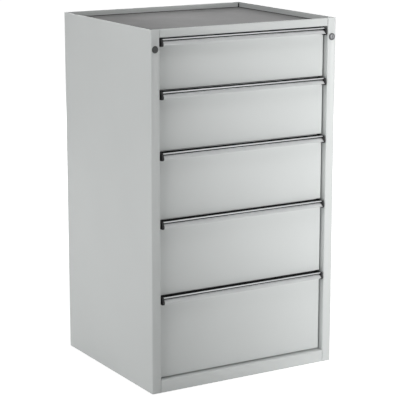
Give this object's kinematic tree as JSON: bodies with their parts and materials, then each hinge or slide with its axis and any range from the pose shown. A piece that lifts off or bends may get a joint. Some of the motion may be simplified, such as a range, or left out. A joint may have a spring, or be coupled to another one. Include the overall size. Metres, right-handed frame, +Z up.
{
  "type": "industrial drawer cabinet",
  "caption": "Sheet-steel drawer cabinet with full-width grip handles, drawers on extending slides, a central lock bar and a matted tray top",
  "frame": {"origin": "on the floor, in the middle of the whole cabinet's width and depth, handles included", "axes": "+Z up, the drawers open towards -Y, +X to the right as seen by the user in front"},
  "size_m": [0.63, 0.5504, 1.065],
  "materials": {
    "body_paint": "satin light grey powder coat",
    "zinc_steel": "zinc-plated sheet steel",
    "anodised_aluminium": "natural anodised extrusion",
    "black_plastic": "fine-grained black moulding",
    "lock_metal": "nickel-plated die casting",
    "mat_rubber": "matt grey rubber sheet"
  },
  "bodies": {
    "cabinet": {"back_panel": "body_paint", "base_pan": "body_paint", "blank_plug": "black_plastic", "lock_cylinder": "lock_metal", "runner_1_left": "zinc_steel", "runner_1_right": "zinc_steel", "runner_2_left": "zinc_steel", "runner_2_right": "zinc_steel", "runner_3_left": "zinc_steel", "runner_3_right": "zinc_steel", "runner_4_left": "zinc_steel", "runner_4_right": "zinc_steel", "runner_5_left": "zinc_steel", "runner_5_right": "zinc_steel", "side_panel_left": "body_paint", "side_panel_right": "body_paint", "top_mat": "mat_rubber", "top_pan": "body_paint", "upright_front_left": "body_paint", "upright_front_right": "body_paint", "upright_rear_left": "body_paint", "upright_rear_right": "body_paint"},
    "drawer_1": {"drawer_1_box": "zinc_steel", "drawer_1_cap_left": "black_plastic", "drawer_1_cap_right": "black_plastic", "drawer_1_front": "body_paint", "drawer_1_handle": "anodised_aluminium"},
    "drawer_2": {"drawer_2_box": "zinc_steel", "drawer_2_cap_left": "black_plastic", "drawer_2_cap_right": "black_plastic", "drawer_2_front": "body_paint", "drawer_2_handle": "anodised_aluminium"},
    "drawer_3": {"drawer_3_box": "zinc_steel", "drawer_3_cap_left": "black_plastic", "drawer_3_cap_right": "black_plastic", "drawer_3_front": "body_paint", "drawer_3_handle": "anodised_aluminium"},
    "drawer_4": {"drawer_4_box": "zinc_steel", "drawer_4_cap_left": "black_plastic", "drawer_4_cap_right": "black_plastic", "drawer_4_front": "body_paint", "drawer_4_handle": "anodised_aluminium"},
    "drawer_5": {"drawer_5_box": "zinc_steel", "drawer_5_cap_left": "black_plastic", "drawer_5_cap_right": "black_plastic", "drawer_5_front": "body_paint", "drawer_5_handle": "anodised_aluminium"},
    "lock_bar": {"lock_bar": "zinc_steel"},
    "lock_core": {"lock_core": "lock_metal"},
    "slides_1": {"slide_1_left": "zinc_steel", "slide_1_right": "zinc_steel"},
    "slides_2": {"slide_2_left": "zinc_steel", "slide_2_right": "zinc_steel"},
    "slides_3": {"slide_3_left": "zinc_steel", "slide_3_right": "zinc_steel"},
    "slides_4": {"slide_4_left": "zinc_steel", "slide_4_right": "zinc_steel"},
    "slides_5": {"slide_5_left": "zinc_steel", "slide_5_right": "zinc_steel"}
  },
  "joints": [
    {"name": "drawer_1_travel", "type": "slide", "parent": "cabinet", "child": "drawer_1", "axis": [0, -1, 0], "range_m": [0, 0.45]},
    {"name": "slides_1_travel", "type": "slide", "parent": "cabinet", "child": "slides_1", "axis": [0, -1, 0], "range_m": [0, 0.225]},
    {"name": "drawer_2_travel", "type": "slide", "parent": "cabinet", "child": "drawer_2", "axis": [0, -1, 0], "range_m": [0, 0.45]},
    {"name": "slides_2_travel", "type": "slide", "parent": "cabinet", "child": "slides_2", "axis": [0, -1, 0], "range_m": [0, 0.225]},
    {"name": "drawer_3_travel", "type": "slide", "parent": "cabinet", "child": "drawer_3", "axis": [0, -1, 0], "range_m": [0, 0.45]},
    {"name": "slides_3_travel", "type": "slide", "parent": "cabinet", "child": "slides_3", "axis": [0, -1, 0], "range_m": [0, 0.225]},
    {"name": "drawer_4_travel", "type": "slide", "parent": "cabinet", "child": "drawer_4", "axis": [0, -1, 0], "range_m": [0, 0.45]},
    {"name": "slides_4_travel", "type": "slide", "parent": "cabinet", "child": "slides_4", "axis": [0, -1, 0], "range_m": [0, 0.225]},
    {"name": "drawer_5_travel", "type": "slide", "parent": "cabinet", "child": "drawer_5", "axis": [0, -1, 0], "range_m": [0, 0.45]},
    {"name": "slides_5_travel", "type": "slide", "parent": "cabinet", "child": "slides_5", "axis": [0, -1, 0], "range_m": [0, 0.225]},
    {"name": "lock_bar_shift", "type": "slide", "parent": "cabinet", "child": "lock_bar", "axis": [-1, 0, 0], "range_m": [0, 0.0036]},
    {"name": "lock_core_turn", "type": "hinge", "parent": "cabinet", "child": "lock_core", "pos_m": [0.3, -0.26975, 1.009], "axis": [0, 1, 0], "range_deg": [0, 90]}
  ],
  "couplings": [
    {"joint": "slides_1_travel", "follows": "drawer_1_travel", "ratio": 0.5},
    {"joint": "slides_2_travel", "follows": "drawer_2_travel", "ratio": 0.5},
    {"joint": "slides_3_travel", "follows": "drawer_3_travel", "ratio": 0.5},
    {"joint": "slides_4_travel", "follows": "drawer_4_travel", "ratio": 0.5},
    {"joint": "slides_5_travel", "follows": "drawer_5_travel", "ratio": 0.5},
    {"joint": "lock_core_turn", "follows": "lock_bar_shift", "rad_per_m": 436.33}
  ]
}
